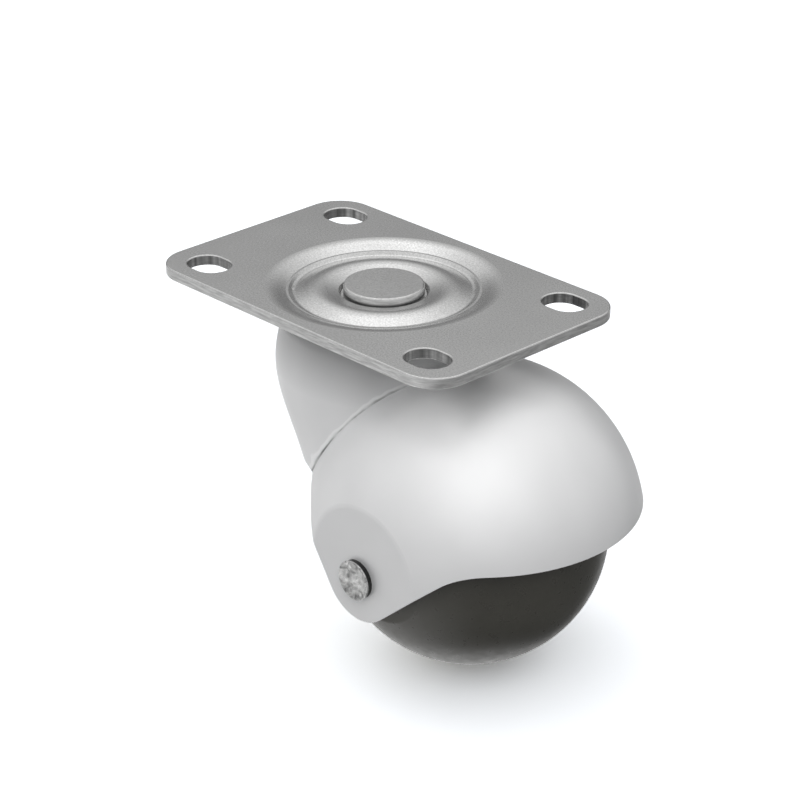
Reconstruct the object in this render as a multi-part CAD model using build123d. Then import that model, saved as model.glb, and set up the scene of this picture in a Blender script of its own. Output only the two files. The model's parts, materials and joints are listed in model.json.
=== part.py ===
"""Plate castor with a hooded ball wheel.

Origin: centre of the plate's top face. +Z up through the plate, +X along the plate's
long side, towards the trailing wheel, and the axle lies along Y. Millimetres.
"""
from math import atan2, cos, pi, radians, sin, tan
import os

from build123d import *

# Ball wheel
ball_diameter = 63.5
tread_side_gap = 2.6
tread_edge_round = 1.0
hub_radius = 8.0
rubber_wall = 11.25
drum_inset = 12.0
flange_inset = 6.0
flange_rim = 4.5
core_edge_round = 1.0
hub_edge_round = 0.5
sleeve_wall = 1.6

# Swivel: where the wheel stands under the plate
trail = 28.5
axle_drop = 51.7

# Top plate
plate_length = 93.8
plate_width = 60.5
plate_thickness = 2.6
plate_corner_radius = 8.8
plate_edge_round = 0.35
slot_length = 11.0
slot_width = 8.8
slot_end_distance = 10.85
slot_side_distance = 8.75

# Dish pressed into the plate: each run is measured outwards, each depth below the top face
crest_depth = 0.8
crest_round = 8.0
crest_run = 5.3
valley_depth = 2.15
valley_round = 1.2
foot_run = 1.1
ledge_depth = 1.3
ledge_width = 0.6
ledge_round = 0.15
wall_run = 3.4
dish_edge_round = 8.0
dish_margin = 0.5
seat_lip_depth = 1.7
seat_depth = 2.9
seat_draft = 0.3
seat_wall = 0.7

# Kingpin, the rivet that the hood swivels on
pin_head_radius = 9.3
pin_head_round = 0.5
pin_head_below_face = 0.1
pin_shank_radius = 6.0
pin_tail_radius = 8.6
pin_tail_height = 2.4
pin_tail_round = 1.0

# Swivel balls and the tracks that they run in
upper_ball_diameter = 3.97
lower_ball_diameter = 3.97
collar_gap = 1.265
track_step = 4.8
track_round = 2.6
track_side_slope = 40.0

# Lower race cup
cup_thickness = 1.6
cup_lip_height = 2.0
cup_collar_wall = 1.3
cup_collar_rise = 0.4
cup_wall_rise = 0.3

# Hood
sheet = 1.5
neck_margin = 9.7
neck_top_narrowing = 0.9
neck_widest_depth = 19.0
neck_shoulder_round = 2.8
neck_lean_power = 1.8
neck_spread_power = 3.4
neck_end_inset = 1.5
neck_rings = 6
pin_hole_dip = 0.3
hood_clearance = 5.55
dome_forward = 1.3
dome_raise = 1.7
ear_flat_depth = 3.4
ear_edge_round = 2.5
ear_radius = 10.4
rim_front_height = 8.5
rim_back_height = 14.0
rim_front_slope = 41.0
rim_back_slope = 57.0
rim_round = 12.0

# Axle and its washers
axle_radius = 3.97
axle_head_radius = 4.7
axle_head_height = 1.6
axle_head_round = 0.6
axle_dimple_radius = 2.9
axle_dimple_depth = 0.5
washer_radius = 8.5
washer_thickness = 2.15

# Clearances, and the rounds left on small turned and pressed edges
fixed_clearance = 0.05
running_clearance = 0.05
side_clearance = 0.15
ball_clearance = 0.06
cup_wall_clearance = 0.015
hood_top_clearance = 0.3
ball_spacing = 0.4
pin_head_clearance = 1.0
pin_hole_clearance = 0.75
small_round = 0.3

# Worked out from the sizes above: the wheel and the hood round it
ball_radius = ball_diameter / 2
wheel_centre = Vector(trail, 0, -axle_drop)
dome_radius = ball_radius + hood_clearance + sheet
dome_centre = wheel_centre + Vector(dome_forward, 0, dome_raise)
ear_face = dome_radius - ear_flat_depth
hub_half_length = ear_face - sheet - washer_thickness - side_clearance
tread_half_width = hub_half_length - tread_side_gap
core_drum_radius = ball_radius - rubber_wall
core_drum_half_length = tread_half_width - drum_inset
core_flange_radius = hub_radius + flange_rim
core_flange_half_length = tread_half_width - flange_inset
sleeve_radius = axle_radius + running_clearance + sleeve_wall

# Places of the slots, from the plate's edges
slot_spacing_x = plate_length - 2 * slot_end_distance
slot_spacing_y = plate_width - 2 * slot_side_distance

# Radii of the swivel, from the kingpin outwards
collar_radius = pin_shank_radius + fixed_clearance + cup_collar_wall
pin_hole_radius = collar_radius + pin_hole_clearance
seat_radius = pin_head_radius + pin_head_clearance
lower_track_radius = collar_radius + collar_gap + lower_ball_diameter / 2
cup_inner_radius = lower_track_radius + lower_ball_diameter / 2 + cup_wall_clearance
cup_radius = cup_inner_radius + cup_thickness
crest_radius = lower_track_radius + track_step
valley_radius = crest_radius + crest_run
ledge_radius = valley_radius + foot_run + ledge_width
dish_radius = ledge_radius + wall_run
wall_slope = atan2(ledge_depth, wall_run)
neck_radius = crest_radius + neck_margin


def ball_centre_below(underside, diameter):
    """Height of a ball that runs just below a track."""
    return underside - diameter / 2 - ball_clearance


# Heights of the balls and of the tracks under them, from the plate down
seat_underside = -seat_depth - plate_thickness
hood_top_z = seat_underside - hood_top_clearance
upper_ball_z = ball_centre_below(-crest_depth - plate_thickness, upper_ball_diameter)
upper_track_z = upper_ball_z - upper_ball_diameter / 2 - ball_clearance
lower_ball_z = ball_centre_below(hood_top_z - sheet, lower_ball_diameter)
lower_track_z = lower_ball_z - lower_ball_diameter / 2 - ball_clearance


def corner_drop(corner, slope):
    """How far a rounded corner between two equal slopes stays short of its sharp point."""
    return corner * (1 / cos(slope) - 1)


def turned(outline):
    """Solid turned about Z from a closed outline of (radius, height, corner round)."""
    corners = [(r, z) for r, z, _ in outline]
    rounds = [corner for _, _, corner in outline]
    section = Plane.XZ * make_face(FilletPolyline(*corners, radius=rounds, close=True))
    return revolve(section, Axis.Z)


def across(solid):
    """Turn a solid made about Z so that it lies about Y, centred on the axle."""
    return Pos(*wheel_centre) * Rot(90, 0, 0) * solid


# The dished middle of the plate
def plate_dish(web):
    t = plate_thickness
    hole = pin_shank_radius + fixed_clearance
    bend_shift = t * tan(wall_slope / 2)
    crest_slope = atan2(valley_depth - crest_depth, crest_run)
    crest_corner = -crest_depth + corner_drop(crest_round, crest_slope)
    track_corner = -crest_depth - t + corner_drop(track_round, crest_slope)
    top = [
        (web, 0, 0),
        (dish_radius, 0, dish_edge_round),
        (ledge_radius, -ledge_depth, ledge_round),
        (ledge_radius - ledge_width, -ledge_depth, ledge_round),
        (valley_radius, -valley_depth, valley_round),
        (crest_radius, crest_corner, crest_round),
        (seat_radius, -seat_lip_depth, small_round),
        (seat_radius - seat_draft, -seat_depth, small_round),
        (hole, -seat_depth, 0),
    ]
    underside = [
        (hole, seat_underside, 0),
        (seat_radius + seat_wall - seat_draft, seat_underside, small_round),
        (seat_radius + seat_wall, -seat_lip_depth - t, small_round),
        (crest_radius, track_corner, track_round),
        (valley_radius, -valley_depth - t, valley_round),
        (dish_radius + bend_shift, -t, small_round),
        (web, -t, 0),
    ]
    return turned(top + underside)


def top_plate():
    blank = Rectangle(plate_length, plate_width)
    blank = fillet(blank.vertices(), plate_corner_radius)
    slots = GridLocations(slot_spacing_x, slot_spacing_y, 2, 2) * SlotOverall(slot_length, slot_width)
    flat = extrude(blank - slots, -plate_thickness)
    flat = fillet(flat.edges().filter_by(Plane.XY), plate_edge_round)
    web = dish_radius + dish_edge_round * tan(wall_slope / 2) + dish_margin
    return flat - Cylinder(web, 3 * plate_thickness) + plate_dish(web)


def kingpin():
    head_top = -pin_head_below_face
    tail_top = lower_track_z - cup_thickness
    tail_end = tail_top - pin_tail_height
    return turned([
        (0, head_top, 0),
        (pin_head_radius, head_top, pin_head_round),
        (pin_head_radius, -seat_depth, small_round),
        (pin_shank_radius, -seat_depth, 0),
        (pin_shank_radius, tail_top, 0),
        (pin_tail_radius, tail_top, small_round),
        (pin_tail_radius, tail_end, pin_tail_round),
        (0, tail_end, 0),
    ])


# The pressed cup that the kingpin clamps under the hood, with the collar that spaces it
def lower_race_cup():
    bore = pin_shank_radius + fixed_clearance
    floor = lower_track_z
    return turned([
        (bore, seat_underside, 0),
        (collar_radius, seat_underside, small_round),
        (collar_radius, floor + cup_collar_rise, small_round),
        (lower_track_radius, floor, track_round),
        (cup_inner_radius, floor + cup_wall_rise, small_round),
        (cup_inner_radius, floor + cup_lip_height, small_round),
        (cup_radius, floor + cup_lip_height, small_round),
        (cup_radius, floor - cup_thickness, cup_thickness),
        (bore, floor - cup_thickness, 0),
    ])


def groove(bottom, flat, corner):
    """Outline of a round groove for the upper balls, sunk from a flat wall."""
    slope = radians(track_side_slope)
    lowest = bottom - corner_drop(corner, slope)
    half_width = (flat - lowest) / tan(slope)
    return [
        (crest_radius - half_width, flat, small_round),
        (crest_radius, lowest, corner),
        (crest_radius + half_width, flat, small_round),
    ]


# The top wall of the hood, with its middle dipped to the kingpin's hole
def hood_top(web):
    dip = hood_top_z - pin_hole_dip
    outside = [
        (pin_hole_radius, dip, small_round),
        (lower_track_radius, hood_top_z, sheet),
        *groove(upper_track_z, hood_top_z, track_round),
        (web, hood_top_z, 0),
    ]
    inside = [
        (pin_hole_radius, dip - sheet, small_round),
        (lower_track_radius, hood_top_z - sheet, sheet),
        *groove(upper_track_z - sheet, hood_top_z - sheet, track_round + sheet),
        (web, hood_top_z - sheet, 0),
    ]
    return turned(outside + inside[::-1])


def neck(inset):
    """Neck as circles that lean and spread from the swivel axis into the dome."""
    radius = neck_radius - inset
    rise = -dome_centre.Z - neck_widest_depth
    rings = [
        (inset - hood_top_z, 0, radius - neck_top_narrowing),
        (neck_widest_depth, 0, radius),
    ]
    for i in range(1, neck_rings + 1):
        u = i / neck_rings
        lean = dome_centre.X * u ** neck_lean_power
        spread = (dome_radius - neck_end_inset - neck_radius) * u ** neck_spread_power
        rings.append((neck_widest_depth + rise * u, lean, radius + spread))
    body = loft([Pos(x, 0, -depth) * Circle(r) for depth, x, r in rings])
    shoulder = body.faces().sort_by(Axis.Z)[-1].edges()
    body = fillet(shoulder, neck_shoulder_round - inset)
    width = 2 * (ear_face - inset - neck_end_inset)
    return body & (Pos(*dome_centre) * Box(4 * dome_radius, width, 4 * dome_radius))


def dome(inset):
    """Sphere with the two flat faces of the ears, softly rounded at their edge."""
    reach = 4 * dome_radius
    ball = Sphere(dome_radius - inset) & Box(reach, reach, 2 * (ear_face - inset))
    ball = fillet(ball.edges().filter_by(GeomType.CIRCLE), ear_edge_round - inset)
    return Pos(*dome_centre) * Rot(90, 0, 0) * ball


def rim_cutter():
    """What the press trims off below the wavy rim, with the axle at (0, 0)."""
    far = 2 * dome_radius
    front, back = radians(rim_front_slope), radians(rim_back_slope)
    front_x = (ear_radius + rim_front_height * cos(front)) / sin(front)
    back_x = -(ear_radius + rim_back_height * cos(back)) / sin(back)
    spread = sin(front + back)
    toe_x = ear_radius * (cos(back) - cos(front)) / spread
    toe_z = -ear_radius * (sin(front) + sin(back)) / spread
    outline = FilletPolyline(
        (far, rim_front_height),
        (front_x, rim_front_height),
        (toe_x, toe_z),
        (back_x, rim_back_height),
        (-far, rim_back_height),
        (-far, -far),
        (far, -far),
        radius=[0, rim_round, ear_radius, rim_round, 0, 0, 0],
        close=True,
    )
    section = Plane(wheel_centre, x_dir=(1, 0, 0), z_dir=(0, -1, 0)) * make_face(outline)
    return extrude(section, far, both=True)


def hood():
    web = neck_radius - neck_top_narrowing - neck_shoulder_round
    shell = (neck(0) + dome(0)) - (neck(sheet) + dome(sheet))
    shell -= Cylinder(web, -4 * hood_top_z)
    shell += hood_top(web)
    shell -= rim_cutter()
    return shell - across(Cylinder(axle_radius + fixed_clearance, 3 * dome_radius))


# The rivet across the ears, with its ends spread outside them
def axle():
    outer = ear_face + axle_head_height
    half = turned([
        (0, outer - axle_dimple_depth, 0),
        (axle_dimple_radius, outer, axle_head_round),
        (axle_head_radius, outer, axle_head_round),
        (axle_head_radius, ear_face, small_round),
        (axle_radius, ear_face, 0),
        (axle_radius, 0, 0),
        (0, 0, 0),
    ])
    return across(half + mirror(half, Plane.XY))


def axle_washer(side):
    inner = hub_half_length + side_clearance
    outer = inner + washer_thickness
    bore = axle_radius + fixed_clearance
    washer = turned([
        (bore, inner, 0),
        (washer_radius, inner, small_round),
        (washer_radius, outer, small_round),
        (bore, outer, 0),
    ])
    return across(washer if side > 0 else mirror(washer, Plane.XY))


# The wheel, turned about its axle
def axle_sleeve():
    bore = axle_radius + running_clearance
    return across(turned([
        (bore, -hub_half_length, 0),
        (sleeve_radius, -hub_half_length, small_round),
        (sleeve_radius, hub_half_length, small_round),
        (bore, hub_half_length, 0),
    ]))


def core_form():
    upper = [
        (core_drum_radius, core_drum_half_length, core_edge_round),
        (core_flange_radius, core_flange_half_length, core_edge_round),
        (hub_radius, core_flange_half_length, hub_edge_round),
        (hub_radius, hub_half_length, hub_edge_round),
    ]
    lower = [(r, -y, corner) for r, y, corner in reversed(upper)]
    return turned([(0, hub_half_length, 0), (0, -hub_half_length, 0)] + lower + upper)


def wheel_core():
    return across(core_form() - Cylinder(sleeve_radius, 3 * hub_half_length))


def tread():
    reach = 4 * ball_radius
    ball = Sphere(ball_radius) & Box(reach, reach, 2 * tread_half_width)
    ball = fillet(ball.edges().filter_by(GeomType.CIRCLE), tread_edge_round)
    return across(ball - core_form())


def ball_ring(name, track_radius, height, diameter):
    """Loose balls that fill a track round the swivel axis, as named pieces."""
    count = int(2 * pi * track_radius / (diameter + ball_spacing))
    ball = Pos(0, 0, height) * Sphere(diameter / 2)
    places = PolarLocations(track_radius, count)
    return {f"{name}_{i:02d}": place * ball for i, place in enumerate(places, 1)}


def parts():
    pieces = {
        "top_plate": top_plate(),
        "kingpin": kingpin(),
        "lower_race_cup": lower_race_cup(),
        "hood": hood(),
        "axle": axle(),
        "axle_washer_left": axle_washer(1),
        "axle_washer_right": axle_washer(-1),
        "axle_sleeve": axle_sleeve(),
        "wheel_core": wheel_core(),
        "tread": tread(),
    }
    pieces |= ball_ring("upper_ball", crest_radius, upper_ball_z, upper_ball_diameter)
    pieces |= ball_ring("lower_ball", lower_track_radius, lower_ball_z, lower_ball_diameter)
    return pieces


os.makedirs("parts", exist_ok=True)
for piece_name, shape in parts().items():
    export_step(shape, f"parts/{piece_name}.step")
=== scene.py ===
"""Finishes, swivel balls, spread axle ends and stage for a plate castor with a hooded ball wheel.

Metres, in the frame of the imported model: the plate's top face is at Z = 0, the swivel
turns about Z and the axle lies along Y.
"""
import json
import math

import bmesh
import bpy
from mathutils import Matrix, Vector, noise


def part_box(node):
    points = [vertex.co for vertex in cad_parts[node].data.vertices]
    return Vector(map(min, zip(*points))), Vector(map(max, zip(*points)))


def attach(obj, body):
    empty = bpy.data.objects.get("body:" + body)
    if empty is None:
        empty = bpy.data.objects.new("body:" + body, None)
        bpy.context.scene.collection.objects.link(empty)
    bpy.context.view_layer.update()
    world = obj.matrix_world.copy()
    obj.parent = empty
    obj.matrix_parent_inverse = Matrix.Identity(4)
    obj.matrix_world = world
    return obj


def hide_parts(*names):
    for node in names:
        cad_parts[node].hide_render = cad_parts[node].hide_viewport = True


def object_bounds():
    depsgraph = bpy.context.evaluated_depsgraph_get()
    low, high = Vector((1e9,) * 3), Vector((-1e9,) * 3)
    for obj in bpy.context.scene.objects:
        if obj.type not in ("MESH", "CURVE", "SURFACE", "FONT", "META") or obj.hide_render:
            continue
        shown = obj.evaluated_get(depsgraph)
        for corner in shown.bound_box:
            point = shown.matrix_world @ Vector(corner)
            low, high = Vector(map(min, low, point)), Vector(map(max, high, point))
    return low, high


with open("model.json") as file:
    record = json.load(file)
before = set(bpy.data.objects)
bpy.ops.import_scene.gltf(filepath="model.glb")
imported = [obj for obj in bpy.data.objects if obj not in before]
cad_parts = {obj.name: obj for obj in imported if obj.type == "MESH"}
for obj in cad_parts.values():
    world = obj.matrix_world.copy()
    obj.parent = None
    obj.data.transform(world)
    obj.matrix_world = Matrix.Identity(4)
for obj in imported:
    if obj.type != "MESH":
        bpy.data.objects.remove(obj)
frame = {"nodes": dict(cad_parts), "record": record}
CAD_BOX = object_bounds()

bl_info = {
    "name": "Hooded ball castor",
    "version": (1, 0, 0),
    "blender": (4, 5, 0),
    "location": "View3D > Sidebar > Castor",
    "description": "Finishes, small pieces and stage of a plate castor with a hooded ball wheel",
    "category": "Add Mesh",
}

MM = 0.001

# The hood's dome, from the wheel's centre
DOME_OFFSET = Vector((1.3, 0, 1.7)) * MM
DOME_RADIUS = 38.8 * MM

# Heights over the dome where the fold's painted shade line and its painted highlight line start, are full,
# fade and end
FOLD_SHADE_HEIGHTS = (0.06 * MM, 0.2 * MM, 0.36 * MM, 0.7 * MM)
FOLD_HIGHLIGHT_HEIGHTS = (0.65 * MM, 0.9 * MM, 1.1 * MM, 1.5 * MM)

# Levels between which painted shade of the plate darkens the hood towards it
PLATE_SHADE_START = -20 * MM
PLATE_SHADE_END = -5.5 * MM

# Distances from the plate's edges between which the slots lie, with soft ends; their walls get painted shade
# there
SLOT_SHADE_OUTER = (2.8 * MM, 3.6 * MM)
SLOT_SHADE_INNER = (19 * MM, 17.5 * MM)

# Depths under the pin head's face between which its side turns to painted shade
PIN_FOOT_SHADE = (1.3 * MM, 1.9 * MM)

# The axle's shank, and how far its heads stand out from the ears
AXLE_RADIUS = 3.97 * MM
HEAD_HEIGHT = 1.6 * MM

# Brightness of the room that metal mirrors, as (degrees above the horizon, level)
UPPER_ROOM = ((5, 0.46), (16, 0.5), (26, 0.6), (45, 0.7), (60, 0.82), (90, 0.72))
LEFT_ROOM = ((-60, 1.1), (-40, 0.66), (-25, 0.6), *UPPER_ROOM)
RIGHT_ROOM = ((-60, 0.08), (-40, 0.12), (-25, 0.2), (-5, 0.4), *UPPER_ROOM)
FAR_ROOM = (
    (-30, 1.0), (-8, 0.3), (5, 0.22), (15, 0.22), (24, 0.36), (29, 0.58), (38, 0.76), (46, 0.96),
    (54, 1.2), (61, 1.28), (71, 0.85), (90, 0.72),
)

# How far a direction points to the left or far side of the room, from where that side starts
# to show to where it is all
LEFT_BLEND = (-0.2, 0.7)
FAR_BLEND = (0.55, 0.85)

# The same for the strip of the far side's levels that reaches overhead: how far a direction
# points ahead, and how far sideways
AHEAD_BLEND = (0, 0.25)
MIDDLE_BLEND = (0.42, 0.1)

# Half the floor's width, and the faint blue of its white
FLOOR_REACH = 6.0
FLOOR_TINT = (0.975, 1.0, 1.035)

# How far the lamps stand from the castor's middle
LAMP_DISTANCE = 0.7

# Width in millimetres of the picture that the lens belongs to, and what the camera can see
SENSOR_WIDTH = 36
CLIP_START = 0.01
CLIP_END = 30


# Places read from the frame
def body_nodes(body):
    """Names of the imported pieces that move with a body."""
    return frame["record"]["behaviour"]["bodies"][body]


def middle(node):
    low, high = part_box(node)
    return (low + high) / 2


def joint_place(name):
    """Where a joint's axis passes, at rest."""
    joints = frame["record"]["behaviour"]["joints"]
    return Vector(next(joint["pos_m"] for joint in joints if joint["name"] == name))


# Node tree helpers
def add(tree, kind, **values):
    """Add a node; a value whose key is an input's name is set on that input."""
    node = tree.nodes.new(kind)
    for key, value in values.items():
        if key in node.inputs:
            node.inputs[key].default_value = value
        else:
            setattr(node, key, value)
    return node


def join(tree, source, output, target, entry):
    tree.links.new(source.outputs[output], target.inputs[entry])


def feed(tree, source, entry):
    """Link a socket to an input, or set the input to a number or a colour."""
    if isinstance(source, bpy.types.NodeSocket):
        tree.links.new(source, entry)
    elif entry.type == "RGBA":
        entry.default_value = (*source, 1)
    else:
        entry.default_value = source


def maths(tree, operation, *sources, clamp=False):
    """Result of a maths node on sockets or numbers."""
    node = add(tree, "ShaderNodeMath", operation=operation, use_clamp=clamp)
    for source, entry in zip(sources, node.inputs):
        feed(tree, source, entry)
    return node.outputs["Value"]


def ranged(tree, source, start, full, low=0, high=1, smooth=True):
    """Value that runs from low, where the source is start, to high, where it is full."""
    node = add(tree, "ShaderNodeMapRange", interpolation_type="SMOOTHSTEP" if smooth else "LINEAR")
    values = {"Value": source, "From Min": start, "From Max": full, "To Min": low, "To Max": high}
    for label, value in values.items():
        feed(tree, value, node.inputs[label])
    return node.outputs["Result"]


def spread(tree, texture, low, high):
    """Bring a texture's middle range to a chosen range."""
    return ranged(tree, texture, 0.3, 0.7, low, high, smooth=False)


def mixed(tree, factor, first, second):
    """Colour that runs from the first to the second with a factor."""
    node = add(tree, "ShaderNodeMix", data_type="RGBA")
    first_entry, second_entry = [entry for entry in node.inputs if entry.type == "RGBA"]
    feed(tree, factor, node.inputs["Factor"])
    feed(tree, first, first_entry)
    feed(tree, second, second_entry)
    return node.outputs["Result"]


def parts(tree, vector):
    """X, Y and Z of a vector."""
    node = add(tree, "ShaderNodeSeparateXYZ")
    feed(tree, vector, node.inputs["Vector"])
    return node.outputs


def object_place(tree):
    return add(tree, "ShaderNodeTexCoord").outputs["Object"]


def grain(tree, scale, detail, stretch=(1, 1, 1), distortion=0):
    """Noise in the object's own coordinates, with scale as features per metre."""
    turn = add(tree, "ShaderNodeMapping", Scale=stretch)
    texture = add(tree, "ShaderNodeTexNoise", Scale=scale, Detail=detail, Distortion=distortion)
    feed(tree, object_place(tree), turn.inputs["Vector"])
    join(tree, turn, "Vector", texture, "Vector")
    return texture.outputs["Fac"]


def empty_tree(owner):
    """Node tree of a material or world, with nothing in it."""
    owner.use_nodes = True
    owner.node_tree.nodes.clear()
    return owner.node_tree


def new_material(name):
    """Material with its tree and its surface shader."""
    material = bpy.data.materials.new(name)
    tree = empty_tree(material)
    output = add(tree, "ShaderNodeOutputMaterial")
    shader = add(tree, "ShaderNodeBsdfPrincipled")
    join(tree, shader, "BSDF", output, "Surface")
    return material, tree, shader


def mottle(tree, shader, texture, dark, light):
    """Run the surface's colour between two shades with a texture."""
    feed(tree, mixed(tree, spread(tree, texture, 0, 1), dark, light), shader.inputs["Base Color"])


def uneven_gloss(tree, shader, texture, low, high):
    """Run the surface's roughness between two values with a texture."""
    feed(tree, spread(tree, texture, low, high), shader.inputs["Roughness"])


def raise_by(tree, shader, texture, strength, depth):
    """Let a texture raise and sink the surface a little."""
    bump = add(tree, "ShaderNodeBump", Strength=strength, Distance=depth)
    feed(tree, texture, bump.inputs["Height"])
    join(tree, bump, "Normal", shader, "Normal")


def dress(nodes, material):
    """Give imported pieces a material, with their own mesh left as it is."""
    for name in nodes:
        for entry in frame["nodes"][name].material_slots:
            entry.material = material


def place_object(name, data):
    """Object at the origin, in the scene."""
    thing = bpy.data.objects.new(name, data)
    bpy.context.scene.collection.objects.link(thing)
    return thing


# What a user would change
class CastorFinish(bpy.types.PropertyGroup):
    """Colours and textures of the castor's surfaces."""

    plate_colour: bpy.props.FloatVectorProperty(
        name="Plate colour", description="Satin zinc of the top plate and the kingpin",
        subtype="COLOR", size=3, min=0, max=1, default=(0.79, 0.79, 0.785))
    plate_roughness: bpy.props.FloatProperty(
        name="Plate roughness", description="How satin the plate's flat faces are",
        subtype="FACTOR", min=0, max=1, default=0.22)
    plate_grain: bpy.props.FloatProperty(
        name="Plate grain", description="Size of the fine grain in the plate's plating",
        unit="LENGTH", default=0.42 * MM)
    edge_colour: bpy.props.FloatVectorProperty(
        name="Sheared edge colour", description="Cut edges of the plate and its slots",
        subtype="COLOR", size=3, min=0, max=1, default=(0.72, 0.72, 0.715))
    edge_roughness: bpy.props.FloatProperty(
        name="Sheared edge roughness", description="How dull the cut edges are",
        subtype="FACTOR", min=0, max=1, default=0.36)
    # Painted shade of the slots' walls and of the pin head's foot
    recess_shade_colour: bpy.props.FloatVectorProperty(
        name="Recess shade colour", description="Dark of the slots' walls and of the pin head's foot",
        subtype="COLOR", size=3, min=0, max=1, default=(0.1, 0.1, 0.1))
    hood_colour: bpy.props.FloatVectorProperty(
        name="Hood colour", description="Pale plating of the hood",
        subtype="COLOR", size=3, min=0, max=1, default=(0.87, 0.87, 0.87))
    hood_roughness: bpy.props.FloatProperty(
        name="Hood roughness", description="How soft the hood's reflections are",
        subtype="FACTOR", min=0, max=1, default=0.36)
    hood_metal: bpy.props.FloatProperty(
        name="Hood metal", description="Share of the hood's light that is mirrored, not scattered",
        subtype="FACTOR", min=0, max=1, default=0.34)
    # Painted shade: how far the hood's neck darkens under the plate
    top_painted_shade: bpy.props.FloatProperty(
        name="Top shade", description="How much the hood darkens towards the swivel",
        subtype="FACTOR", min=0, max=1, default=0.55)
    # Painted shade of the fold's crease and of the neck under the plate
    painted_shade_colour: bpy.props.FloatVectorProperty(
        name="Painted shade colour", description="Dark of the fine fold between the neck and the dome",
        subtype="COLOR", size=3, min=0, max=1, default=(0.12, 0.12, 0.12))
    steel_colour: bpy.props.FloatVectorProperty(
        name="Steel colour", description="Bare steel of the race cup, the washers, the sleeve and the balls",
        subtype="COLOR", size=3, min=0, max=1, default=(0.66, 0.66, 0.65))
    rubber_colour: bpy.props.FloatVectorProperty(
        name="Rubber colour", description="Dark grey rubber of the ball",
        subtype="COLOR", size=3, min=0, max=1, default=(0.09, 0.0865, 0.074))
    rubber_roughness: bpy.props.FloatProperty(
        name="Rubber roughness", description="How dull the rubber is",
        subtype="FACTOR", min=0, max=1, default=0.3)


class CastorAxle(bpy.types.PropertyGroup):
    """The spread ends of the axle."""

    head_radius: bpy.props.FloatProperty(
        name="Head radius", description="Radius of a spread end's lip", unit="LENGTH", default=4.7 * MM)
    lip_height: bpy.props.FloatProperty(
        name="Lip height", description="Thickness of the lip over its undercut",
        unit="LENGTH", default=0.45 * MM)
    face_dimple: bpy.props.FloatProperty(
        name="Face dimple", description="Depth of the spread face's middle under its rim",
        unit="LENGTH", default=0.3 * MM)
    hammer_depth: bpy.props.FloatProperty(
        name="Hammer depth", description="Depth of the marks that spreading leaves on the face",
        unit="LENGTH", default=0.42 * MM)
    hammer_size: bpy.props.FloatProperty(
        name="Hammer size", description="Width of those marks", unit="LENGTH", default=1.9 * MM)
    segments: bpy.props.IntProperty(
        name="Segments", description="Segments round the axle", default=80, min=24)


class CastorSwivel(bpy.types.PropertyGroup):
    """The loose balls of the swivel."""

    ball_segments: bpy.props.IntProperty(
        name="Ball segments", description="Segments round each swivel ball", default=32, min=12)


class CastorStage(bpy.types.PropertyGroup):
    """Camera, light and floor. Every azimuth is counted round the castor as the camera's."""

    camera_azimuth: bpy.props.FloatProperty(
        name="Azimuth", description="Turn of the camera round the castor, from -Y towards +X",
        subtype="ANGLE", default=math.radians(46.04))
    camera_elevation: bpy.props.FloatProperty(
        name="Elevation", description="Height of the camera above the horizon",
        subtype="ANGLE", default=math.radians(25.82))
    camera_place: bpy.props.FloatVectorProperty(
        name="Camera place", description="Where the camera stands",
        subtype="TRANSLATION", unit="LENGTH", size=3,
        default=(398.54 * MM, -379.28 * MM, 236.49 * MM))
    camera_lens: bpy.props.FloatProperty(
        name="Lens", description="Focal length in millimetres on a 36 mm wide picture",
        default=118.26)
    room_colour: bpy.props.FloatVectorProperty(
        name="Room light", description="Plain light that comes from all round",
        subtype="COLOR", size=3, min=0, max=1, default=(0.27, 0.275, 0.283))
    side_tilt: bpy.props.FloatProperty(
        name="Far wall tilt", description="How much brighter the far wall is at the left than at the right",
        default=0.25)
    key_power: bpy.props.FloatProperty(
        name="Key light", description="Power of the large soft lamp above the camera",
        unit="POWER", default=3.5)
    key_size: bpy.props.FloatProperty(
        name="Key size", description="Width of the key lamp", unit="LENGTH", default=0.62)
    key_azimuth: bpy.props.FloatProperty(
        name="Key azimuth", description="Turn of the key lamp round the castor",
        subtype="ANGLE", default=math.radians(47))
    key_elevation: bpy.props.FloatProperty(
        name="Key elevation", description="Height of the key lamp above the horizon",
        subtype="ANGLE", default=math.radians(50))
    side_power: bpy.props.FloatProperty(
        name="Side light", description="Power of the low soft lamp at the left", unit="POWER", default=2.2)
    side_size: bpy.props.FloatProperty(
        name="Side size", description="Width of the side lamp", unit="LENGTH", default=0.4)
    side_azimuth: bpy.props.FloatProperty(
        name="Side azimuth", description="Turn of the side lamp round the castor",
        subtype="ANGLE", default=math.radians(-72))
    side_elevation: bpy.props.FloatProperty(
        name="Side elevation", description="Height of the side lamp above the horizon",
        subtype="ANGLE", default=math.radians(-14))
    top_power: bpy.props.FloatProperty(
        name="Top light", description="Power of the soft lamp overhead", unit="POWER", default=1.5)
    top_size: bpy.props.FloatProperty(
        name="Top size", description="Width of the top lamp", unit="LENGTH", default=0.6)
    top_azimuth: bpy.props.FloatProperty(
        name="Top azimuth", description="Turn of the top lamp round the castor",
        subtype="ANGLE", default=0)
    top_elevation: bpy.props.FloatProperty(
        name="Top elevation", description="Height of the top lamp above the horizon",
        subtype="ANGLE", default=math.radians(88))
    floor_colour: bpy.props.FloatVectorProperty(
        name="Floor colour", description="Pale paper under the castor, as its surfaces see it",
        subtype="COLOR", size=3, min=0, max=1, default=(0.68, 0.68, 0.68))
    floor_white: bpy.props.FloatProperty(
        name="Floor white", description="Level of the open floor in the picture, where 1 is white",
        default=1.4)
    floor_glow: bpy.props.FloatProperty(
        name="Floor glow", description="Light from the paper, in place of the lamps that miss it",
        default=0.03)
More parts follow.
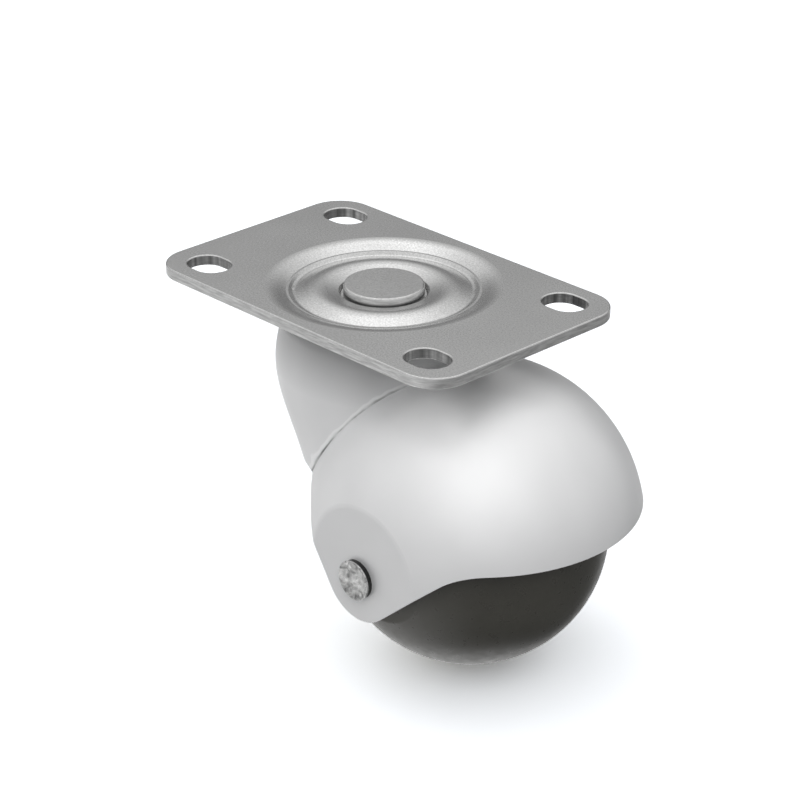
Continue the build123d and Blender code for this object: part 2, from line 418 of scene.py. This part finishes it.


# Where upright faces get painted shade
def slot_wall_shade(tree):
    """Painted shade mask: 1 round the plate's four slots, clear of its outer edges, with upright streaks."""
    half_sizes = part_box("top_plate")[1]
    place = parts(tree, object_place(tree))
    shade = spread(tree, grain(tree, 700, 2, stretch=(1, 1, 0.05)), 0.35, 1)
    for axis, half in (("X", half_sizes.x), ("Y", half_sizes.y)):
        reach = maths(tree, "ABSOLUTE", place[axis])
        for clear, dark in (SLOT_SHADE_INNER, SLOT_SHADE_OUTER):
            shade = maths(tree, "MULTIPLY", shade, ranged(tree, reach, half - clear, half - dark))
    return maths(tree, "MULTIPLY", shade, 0.9)


def pin_foot_shade(tree):
    """Painted shade mask: 1 on the lowest part of the pin head's side, where it sits in the dish."""
    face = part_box("kingpin")[1].z
    height = parts(tree, object_place(tree))["Z"]
    foot = ranged(tree, height, *[face - depth for depth in PIN_FOOT_SHADE])
    return maths(tree, "MULTIPLY", foot, 0.9)


# Materials
def facing_up(tree):
    """1 on faces that lie flat or slope a little, 0 on upright ones."""
    normal = add(tree, "ShaderNodeTexCoord").outputs["Normal"]
    return ranged(tree, maths(tree, "ABSOLUTE", parts(tree, normal)["Z"]), 0.25, 0.6)


def satin_zinc(name, settings, shade_mask):
    """Satin plating with a fine frosted grain, and dull sheared edges with drag marks along them.

    Its last argument is the function that says where upright faces get painted shade.
    """
    material, tree, shader = new_material(name)
    flat = facing_up(tree)
    colour = Vector(settings.plate_colour)
    fine = grain(tree, 1 / settings.plate_grain, 3)
    face = mixed(tree, spread(tree, fine, 0, 1), colour * 0.86, colour * 1.1)
    edge_colour = Vector(settings.edge_colour)
    drag = grain(tree, 2600, 3, stretch=(0.12, 0.12, 1))
    edge = mixed(tree, spread(tree, drag, 0, 1), edge_colour * 0.76, edge_colour * 1.2)
    # Painted shade: upright faces in recesses run towards the recess colour
    shaded_edge = mixed(tree, shade_mask(tree), edge, settings.recess_shade_colour)
    feed(tree, mixed(tree, flat, shaded_edge, face), shader.inputs["Base Color"])
    feed(tree, ranged(tree, flat, 0, 1, 0.8, 1, smooth=False), shader.inputs["Metallic"])
    low = settings.plate_roughness - 0.02
    dull = spread(tree, grain(tree, 60, 3), low, low + 0.05)
    roughness = ranged(tree, flat, 0, 1, settings.edge_roughness, dull, smooth=False)
    feed(tree, roughness, shader.inputs["Roughness"])
    raise_by(tree, shader, fine, 0.08, 0.01 * MM)
    return material


def band(tree, source, start, full, fade, end):
    """1 where a value lies between full and fade, falling to 0 at start and end."""
    return maths(tree, "MULTIPLY", ranged(tree, source, start, full), ranged(tree, source, end, fade))


def above_dome(tree):
    """Height over the dome's ball shape, a little uneven: 0 on the dome, more on the neck."""
    reach = add(tree, "ShaderNodeVectorMath", operation="DISTANCE")
    reach.inputs[1].default_value = joint_place("wheel_spin") + DOME_OFFSET
    feed(tree, object_place(tree), reach.inputs[0])
    height = maths(tree, "SUBTRACT", reach.outputs["Value"], DOME_RADIUS)
    return maths(tree, "MULTIPLY", height, spread(tree, grain(tree, 130, 3), 0.6, 1.7))


def drawn_plating(name, settings):
    """Pale plating on a drawn sheet, with painted shade and a painted highlight along the fine fold where
    the neck meets the dome, and painted shade on the neck under the plate.
    """
    material, tree, shader = new_material(name)
    shader.inputs["Metallic"].default_value = settings.hood_metal
    colour = Vector(settings.hood_colour)
    tone = mixed(tree, spread(tree, grain(tree, 45, 3), 0, 1), colour * 0.965, colour * 1.02)
    height = above_dome(tree)
    # Painted shade along the fold's crease, and a painted highlight beside it
    fold_shade_line = maths(tree, "MULTIPLY", band(tree, height, *FOLD_SHADE_HEIGHTS), 0.95)
    breaks = spread(tree, grain(tree, 190, 3), 0.1, 1)
    with_fold_shade = mixed(tree, maths(tree, "MULTIPLY", fold_shade_line, breaks), tone, settings.painted_shade_colour)
    fold_highlight_line = maths(tree, "MULTIPLY", band(tree, height, *FOLD_HIGHLIGHT_HEIGHTS), 0.8)
    lit = mixed(tree, fold_highlight_line, with_fold_shade, (1, 1, 1))
    # Painted shade of the plate on the neck below it
    level = parts(tree, object_place(tree))["Z"]
    plate_shade = ranged(tree, level, PLATE_SHADE_START, PLATE_SHADE_END, 0, settings.top_painted_shade, smooth=False)
    neck_only = ranged(tree, height, 0, FOLD_HIGHLIGHT_HEIGHTS[-1])
    share = maths(tree, "MULTIPLY", plate_shade, neck_only)
    feed(tree, mixed(tree, share, lit, settings.painted_shade_colour), shader.inputs["Base Color"])
    low = settings.hood_roughness - 0.05
    roughness = ranged(tree, grain(tree, 90, 2), 0, 1, low, low + 0.1, smooth=False)
    feed(tree, roughness, shader.inputs["Roughness"])
    return material


def undercut_shade_steel(name):
    """Near-black steel: painted shade on the undercut sides of the spread axle ends."""
    material, tree, shader = new_material(name)
    mottle(tree, shader, grain(tree, 2500, 3), (0.012, 0.012, 0.012), (0.06, 0.06, 0.058))
    shader.inputs["Roughness"].default_value = 0.45
    shader.inputs["Metallic"].default_value = 0.6
    return material


def hammered_steel(name, size):
    """Bright steel that a spinning punch has smeared, with dark grime left in its low spots."""
    material, tree, shader = new_material(name)
    shader.inputs["Metallic"].default_value = 0.85
    swirl = grain(tree, 1 / size, 4, distortion=1.2)
    mottle(tree, shader, swirl, (0.26, 0.26, 0.26), (0.95, 0.95, 0.94))
    uneven_gloss(tree, shader, grain(tree, 900, 3), 0.2, 0.36)
    raise_by(tree, shader, swirl, 0.6, 0.12 * MM)
    return material


def bare_steel(name, settings, roughness):
    """Turned or ground steel with faint marks."""
    material, tree, shader = new_material(name)
    shader.inputs["Metallic"].default_value = 1
    colour = Vector(settings.steel_colour)
    mottle(tree, shader, grain(tree, 420, 3), colour * 0.88, colour * 1.1)
    fine = grain(tree, 1500, 2)
    uneven_gloss(tree, shader, fine, roughness - 0.04, roughness + 0.06)
    raise_by(tree, shader, fine, 0.3, 0.02 * MM)
    return material


def dark_rubber(name, settings):
    """Smooth moulded rubber, warm dark grey, with a faint bloom."""
    material, tree, shader = new_material(name)
    colour = Vector(settings.rubber_colour)
    mottle(tree, shader, grain(tree, 70, 4), colour * 0.88, colour * 1.14)
    low = settings.rubber_roughness - 0.04
    uneven_gloss(tree, shader, grain(tree, 500, 3), low, low + 0.12)
    return material


def moulded_core(name, settings):
    """Dark moulded plastic of the wheel's core."""
    material, tree, shader = new_material(name)
    dark = Vector(settings.rubber_colour) * 0.8
    mottle(tree, shader, grain(tree, 300, 2), dark, dark * 1.3)
    shader.inputs["Roughness"].default_value = 0.55
    return material


# Swivel balls
def named_input(tree, name, kind, default=None):
    """Add an input to a geometry tree and give its identifier."""
    socket = tree.interface.new_socket(name, in_out="INPUT", socket_type=kind)
    if default is not None:
        socket.default_value = default
    return socket.identifier


def ring_tree():
    """Balls spaced evenly on a circle, with the sizes and material as inputs."""
    tree = bpy.data.node_groups.new("ball_ring", "GeometryNodeTree")
    tree.interface.new_socket("Geometry", in_out="OUTPUT", socket_type="NodeSocketGeometry")
    inputs = {
        "Count": named_input(tree, "Count", "NodeSocketInt", 12),
        "Track Radius": named_input(tree, "Track Radius", "NodeSocketFloat", 10 * MM),
        "Height": named_input(tree, "Height", "NodeSocketFloat", 0.0),
        "Ball Radius": named_input(tree, "Ball Radius", "NodeSocketFloat", 2 * MM),
        "Segments": named_input(tree, "Segments", "NodeSocketInt", 24),
        "Material": named_input(tree, "Material", "NodeSocketMaterial"),
    }
    source = add(tree, "NodeGroupInput")
    result = add(tree, "NodeGroupOutput")
    circle = add(tree, "GeometryNodeMeshCircle")
    lift = add(tree, "ShaderNodeCombineXYZ")
    raised = add(tree, "GeometryNodeTransform")
    ball = add(tree, "GeometryNodeMeshUVSphere")
    placed = add(tree, "GeometryNodeInstanceOnPoints")
    real = add(tree, "GeometryNodeRealizeInstances")
    smooth = add(tree, "GeometryNodeSetShadeSmooth")
    painted = add(tree, "GeometryNodeSetMaterial")
    join(tree, source, "Count", circle, "Vertices")
    join(tree, source, "Track Radius", circle, "Radius")
    join(tree, source, "Height", lift, "Z")
    join(tree, circle, "Mesh", raised, "Geometry")
    join(tree, lift, "Vector", raised, "Translation")
    join(tree, source, "Segments", ball, "Segments")
    feed(tree, maths(tree, "DIVIDE", source.outputs["Segments"], 2), ball.inputs["Rings"])
    join(tree, source, "Ball Radius", ball, "Radius")
    join(tree, raised, "Geometry", placed, "Points")
    join(tree, ball, "Mesh", placed, "Instance")
    join(tree, placed, "Instances", smooth, "Geometry")
    join(tree, smooth, "Geometry", real, "Geometry")
    join(tree, real, "Geometry", painted, "Geometry")
    join(tree, source, "Material", painted, "Material")
    join(tree, painted, "Geometry", result, "Geometry")
    return tree, inputs


def grown_mesh(name, tree, inputs, values):
    """Plain mesh that a geometry tree gives for the values of its named inputs."""
    holder = place_object(name + "_source", bpy.data.meshes.new(name + "_source"))
    modifier = holder.modifiers.new(name, "NODES")
    modifier.node_group = tree
    for label, value in values.items():
        modifier[inputs[label]] = value
    graph = bpy.context.evaluated_depsgraph_get()
    graph.update()
    mesh = bpy.data.meshes.new_from_object(holder.evaluated_get(graph), depsgraph=graph)
    holder.modifiers.remove(modifier)
    bpy.data.objects.remove(holder)
    mesh.name = name
    return mesh


# Axle
def turned_mesh(name, profile, segments):
    """Closed solid turned about Y from (radius, y) points, whose first and last lie on the axis."""
    work = bmesh.new()
    turns = [math.tau * step / segments for step in range(segments)]
    rings = []
    for radius, y in profile[1:-1]:
        rings.append([work.verts.new((radius * math.cos(t), y, radius * math.sin(t))) for t in turns])
    first = work.verts.new((0, profile[0][1], 0))
    last = work.verts.new((0, profile[-1][1], 0))
    for step in range(segments):
        after = (step + 1) % segments
        work.faces.new((first, rings[0][step], rings[0][after]))
        work.faces.new((last, rings[-1][after], rings[-1][step]))
        for ring, following in zip(rings, rings[1:]):
            work.faces.new((ring[step], following[step], following[after], ring[after]))
    bmesh.ops.recalc_face_normals(work, faces=work.faces)
    mesh = bpy.data.meshes.new(name)
    work.to_mesh(mesh)
    work.free()
    mesh.shade_smooth()
    return mesh


def half_axle(reach, settings):
    """(radius, y) points from the middle of a spread face, over the lip, to the shank's middle."""
    lip = settings.head_radius
    under = reach - settings.lip_height
    foot = reach - HEAD_HEIGHT
    face_radius = lip - 0.45 * MM
    face_steps = 26
    points = []
    for step in range(face_steps + 1):
        share = step / face_steps
        points.append((face_radius * share, reach - settings.face_dimple * (1 - share ** 3)))
    return points + [
        (lip - 0.16 * MM, reach - 0.06 * MM),
        (lip - 0.03 * MM, reach - 0.18 * MM),
        (lip, reach - 0.3 * MM),
        (lip - 0.03 * MM, under),
        (lip - 0.2 * MM, under - 0.08 * MM),
        (lip - 0.16 * MM, foot),
        (AXLE_RADIUS, foot),
        (AXLE_RADIUS, foot - 0.6 * MM),
        (AXLE_RADIUS, 0.25 * reach),
    ]


def hammer(mesh, settings, reach):
    """Sink uneven marks into the two spread faces."""
    face_depth = settings.face_dimple + 0.02 * MM
    for vertex in mesh.vertices:
        place = vertex.co
        side = 1 if place.y > 0 else -1
        radius = math.hypot(place.x, place.z)
        if reach - abs(place.y) < face_depth and radius < settings.head_radius - 0.2 * MM:
            inside = 1 - (radius / settings.head_radius) ** 4
            spot = place / settings.hammer_size
            mark = noise.noise(spot) + 0.55 * noise.noise(spot * 2.3)
            dent = settings.hammer_depth * max(0.0, min(1.0, 0.45 + mark)) * inside
            vertex.co.y -= side * dent


def spread_axle(settings, centre, reach):
    """Axle whose ends were spread by a spinning punch; its second material paints shade on the undercuts."""
    half = half_axle(reach, settings)
    other = [(radius, -y) for radius, y in reversed(half)]
    mesh = turned_mesh("axle_spread_ends", half + other, settings.segments)
    hammer(mesh, settings, reach)
    foot = reach - HEAD_HEIGHT - 0.1 * MM
    under = reach - settings.lip_height
    # Faces on the undercut beside the lip take the painted shade material
    for face in mesh.polygons:
        beside = math.hypot(face.center.x, face.center.z) > settings.head_radius - 0.25 * MM
        face.material_index = int(beside and foot < abs(face.center.y) < under)
    mesh.transform(Matrix.Translation(centre))
    return mesh


class CASTOR_OT_plate(bpy.types.Operator):
    """Finish the top plate, the kingpin and the race cup"""

    bl_idname = "castor.plate"
    bl_label = "Finish the plate"

    def execute(self, context):
        settings = context.scene.castor_finish
        dress(["top_plate"], satin_zinc("plate_satin_zinc", settings, slot_wall_shade))
        dress(["kingpin"], satin_zinc("kingpin_satin_zinc", settings, pin_foot_shade))
        dress(["lower_race_cup"], bare_steel("race_hard_steel", settings, 0.42))
        return {"FINISHED"}


class CASTOR_OT_hood(bpy.types.Operator):
    """Finish the drawn hood"""

    bl_idname = "castor.hood"
    bl_label = "Finish the hood"

    def execute(self, context):
        dress(["hood"], drawn_plating("hood_pale_plating", context.scene.castor_finish))
        return {"FINISHED"}


class CASTOR_OT_axle(bpy.types.Operator):
    """Make the axle's spread ends and finish its washers"""

    bl_idname = "castor.axle"
    bl_label = "Finish the axle"

    def execute(self, context):
        settings = context.scene.castor_finish
        ends = context.scene.castor_axle
        low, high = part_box("axle")
        mesh = spread_axle(ends, middle("axle"), (high.y - low.y) / 2)
        mesh.materials.append(hammered_steel("axle_spread_steel", ends.hammer_size))
        # Painted shade for the undercuts
        mesh.materials.append(undercut_shade_steel("axle_undercut_steel"))
        axle = place_object("axle_spread_ends", mesh)
        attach(axle, "fork")
        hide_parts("axle")
        washers = ["axle_washer_left", "axle_washer_right"]
        dress(washers, bare_steel("washer_steel_plated", settings, 0.36))
        return {"FINISHED"}


class CASTOR_OT_wheel(bpy.types.Operator):
    """Finish the rubber ball, its core and the sleeve"""

    bl_idname = "castor.wheel"
    bl_label = "Finish the wheel"

    def execute(self, context):
        settings = context.scene.castor_finish
        dress(["tread"], dark_rubber("ball_rubber", settings))
        dress(["wheel_core"], moulded_core("core_moulded", settings))
        dress(["axle_sleeve"], bare_steel("sleeve_drawn_steel", settings, 0.34))
        return {"FINISHED"}


class CASTOR_OT_swivel_balls(bpy.types.Operator):
    """Lay the two rings of loose balls in their tracks"""

    bl_idname = "castor.swivel_balls"
    bl_label = "Lay the swivel balls"

    def execute(self, context):
        steel = bare_steel("ball_polished_steel", context.scene.castor_finish, 0.14)
        tree, inputs = ring_tree()
        for body in ("upper_balls", "lower_balls"):
            nodes = body_nodes(body)
            first = middle(nodes[0])
            low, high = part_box(nodes[0])
            mesh = grown_mesh(body + "_ring", tree, inputs, {
                "Count": len(nodes),
                "Track Radius": math.hypot(first.x, first.y),
                "Height": first.z,
                "Ball Radius": (high.z - low.z) / 2,
                "Segments": context.scene.castor_swivel.ball_segments,
                "Material": steel,
            })
            piece = place_object(body + "_ring", mesh)
            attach(piece, body)
            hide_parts(*nodes)
        return {"FINISHED"}


# Stage
def outward(azimuth, elevation=0.0):
    """Direction from the castor to where something stands round it."""
    flat = math.cos(elevation)
    return Vector((math.sin(azimuth) * flat, -math.cos(azimuth) * flat, math.sin(elevation)))


def stand(thing, place, back):
    """Stand a lamp or the camera at a place, with its back that way."""
    thing.location = place
    thing.rotation_mode = "QUATERNION"
    thing.rotation_quaternion = back.to_track_quat("Z", "Y")


def sky_ramp(tree, height, levels):
    """Brightness of the room by elevation, from (degrees, level) pairs."""
    ramp = add(tree, "ShaderNodeValToRGB")
    stops = ramp.color_ramp.elements
    stops.remove(stops[0])
    for index, (degrees, level) in enumerate(levels):
        position = 0.5 + 0.5 * math.sin(math.radians(degrees))
        stop = stops[0] if index == 0 else stops.new(position)
        stop.position = position
        stop.color = (level, level, level, 1)
    feed(tree, height, ramp.inputs["Fac"])
    return ramp.outputs["Color"]


def towards(tree, direction, azimuth):
    """How far a direction points to an azimuth."""
    dot = add(tree, "ShaderNodeVectorMath", operation="DOT_PRODUCT")
    dot.inputs[1].default_value = outward(azimuth)
    feed(tree, direction, dot.inputs[0])
    return dot.outputs["Value"]


def mirrored_room(tree, direction, settings):
    """What metal sees: pale sides, a bright ceiling and a far wall that is dim low down."""
    height = maths(tree, "MULTIPLY_ADD", parts(tree, direction)["Z"], 0.5, 0.5)
    far = settings.camera_azimuth + math.pi
    towards_far = towards(tree, direction, far)
    towards_left = towards(tree, direction, far + math.pi / 2)
    left_share = ranged(tree, towards_left, *LEFT_BLEND)
    sides = mixed(tree, left_share, sky_ramp(tree, height, RIGHT_ROOM), sky_ramp(tree, height, LEFT_ROOM))
    # The far wall's levels also reach overhead, in a strip
    middle_share = ranged(tree, maths(tree, "ABSOLUTE", towards_left), *MIDDLE_BLEND)
    overhead = maths(tree, "MULTIPLY", middle_share, ranged(tree, towards_far, *AHEAD_BLEND))
    far_share = maths(tree, "MAXIMUM", ranged(tree, towards_far, *FAR_BLEND), overhead)
    far_wall = add(tree, "ShaderNodeVectorMath", operation="SCALE")
    feed(tree, sky_ramp(tree, height, FAR_ROOM), far_wall.inputs[0])
    tilt = maths(tree, "MULTIPLY_ADD", towards_left, settings.side_tilt, 1)
    feed(tree, tilt, far_wall.inputs["Scale"])
    return mixed(tree, far_share, sides, far_wall.outputs["Vector"])


def studio_world(settings):
    """Plain room light, the room that metal mirrors, and white behind the castor."""
    world = bpy.data.worlds.new("studio")
    bpy.context.scene.world = world
    tree = empty_tree(world)
    output = add(tree, "ShaderNodeOutputWorld")
    direction = add(tree, "ShaderNodeTexCoord").outputs["Generated"]
    rays = add(tree, "ShaderNodeLightPath").outputs
    mirroring = maths(tree, "ADD", rays["Is Glossy Ray"], rays["Is Transmission Ray"], clamp=True)
    room = mixed(tree, mirroring, settings.room_colour, mirrored_room(tree, direction, settings))
    light = add(tree, "ShaderNodeBackground", Strength=1)
    feed(tree, mixed(tree, rays["Is Camera Ray"], room, (1, 1, 1)), light.inputs["Color"])
    join(tree, light, "Background", output, "Surface")


def pale_floor(settings, height):
    """Pale paper that keeps the castor's shadow and is white to the camera beside it."""
    corners = [
        (x * FLOOR_REACH, y * FLOOR_REACH, height)
        for x, y in ((-1, -1), (1, -1), (1, 1), (-1, 1))
    ]
    mesh = bpy.data.meshes.new("floor")
    mesh.from_pydata(corners, [], [(0, 1, 2, 3)])
    material = bpy.data.materials.new("floor_paper")
    mesh.materials.append(material)
    tree = empty_tree(material)
    output = add(tree, "ShaderNodeOutputMaterial")
    paper = add(tree, "ShaderNodeBsdfDiffuse")
    glow = add(tree, "ShaderNodeEmission")
    both = add(tree, "ShaderNodeAddShader")
    to_camera = add(tree, "ShaderNodeLightPath").outputs["Is Camera Ray"]
    tint = Vector(FLOOR_TINT) * settings.floor_white
    white = [share / level for share, level in zip(tint, settings.room_colour)]
    feed(tree, mixed(tree, to_camera, settings.floor_colour, white), paper.inputs["Color"])
    strength = ranged(tree, to_camera, 0, 1, settings.floor_glow, 0, smooth=False)
    feed(tree, strength, glow.inputs["Strength"])
    feed(tree, paper.outputs["BSDF"], both.inputs[0])
    feed(tree, glow.outputs["Emission"], both.inputs[1])
    join(tree, both, "Shader", output, "Surface")
    floor = place_object("floor", mesh)
    floor.visible_glossy = False
    return floor


def all_but(thing):
    """Collection that means everything but one object, when a lamp is linked to it."""
    others = bpy.data.collections.new("all_but_" + thing.name)
    others.objects.link(thing)
    others.collection_objects[0].light_linking.link_state = "EXCLUDE"
    return others


def soft_lamp(name, settings, target, lit):
    """Square lamp that faces the castor and lights only what is in lit.

    The rest doesn't stop its light either, so the side lamp can stand lower than the floor.
    """
    data = bpy.data.lights.new(name + "_lamp", "AREA")
    data.energy = getattr(settings, name + "_power")
    data.size = getattr(settings, name + "_size")
    back = outward(getattr(settings, name + "_azimuth"), getattr(settings, name + "_elevation"))
    lamp = place_object(name + "_lamp", data)
    stand(lamp, target + back * LAMP_DISTANCE, back)
    lamp.visible_glossy = False
    lamp.light_linking.receiver_collection = lit
    lamp.light_linking.blocker_collection = lit


def photo_camera(settings):
    data = bpy.data.cameras.new("camera")
    data.sensor_width = SENSOR_WIDTH
    data.lens = settings.camera_lens
    data.clip_start = CLIP_START
    data.clip_end = CLIP_END
    camera = place_object("camera", data)
    stand(camera, settings.camera_place, outward(settings.camera_azimuth, settings.camera_elevation))
    bpy.context.scene.camera = camera


class CASTOR_OT_stage(bpy.types.Operator):
    """Set up the camera, the soft light and the pale floor"""

    bl_idname = "castor.stage"
    bl_label = "Set up the stage"

    def execute(self, context):
        settings = context.scene.castor_stage
        low, high = CAD_BOX
        studio_world(settings)
        lit = all_but(pale_floor(settings, low.z))
        for name in ("key", "side", "top"):
            soft_lamp(name, settings, (low + high) / 2, lit)
        photo_camera(settings)
        context.scene.view_settings.view_transform = "Standard"
        return {"FINISHED"}


class CASTOR_PT_panel(bpy.types.Panel):
    """Steps and settings of the castor"""

    bl_idname = "CASTOR_PT_panel"
    bl_label = "Castor"
    bl_space_type = "VIEW_3D"
    bl_region_type = "UI"
    bl_category = "Castor"

    def draw(self, context):
        layout = self.layout
        for step in STEPS:
            layout.operator(step.bl_idname)
        for name in GROUPS:
            group = getattr(context.scene, name)
            box = layout.box()
            for entry in group.bl_rna.properties.keys():
                if entry not in ("rna_type", "name"):
                    box.prop(group, entry)


GROUPS = {
    "castor_finish": CastorFinish,
    "castor_axle": CastorAxle,
    "castor_swivel": CastorSwivel,
    "castor_stage": CastorStage,
}
STEPS = (
    CASTOR_OT_plate,
    CASTOR_OT_hood,
    CASTOR_OT_axle,
    CASTOR_OT_wheel,
    CASTOR_OT_swivel_balls,
    CASTOR_OT_stage,
)
CLASSES = (*GROUPS.values(), *STEPS, CASTOR_PT_panel)


def register():
    for cls in CLASSES:
        bpy.utils.register_class(cls)
    for name, group in GROUPS.items():
        setattr(bpy.types.Scene, name, bpy.props.PointerProperty(type=group))


def unregister():
    for name in GROUPS:
        delattr(bpy.types.Scene, name)
    for cls in reversed(CLASSES):
        bpy.utils.unregister_class(cls)


def main():
    register()
    for step in STEPS:
        group, name = step.bl_idname.split(".")
        getattr(getattr(bpy.ops, group), name)()


if __name__ == "__main__":
    main()
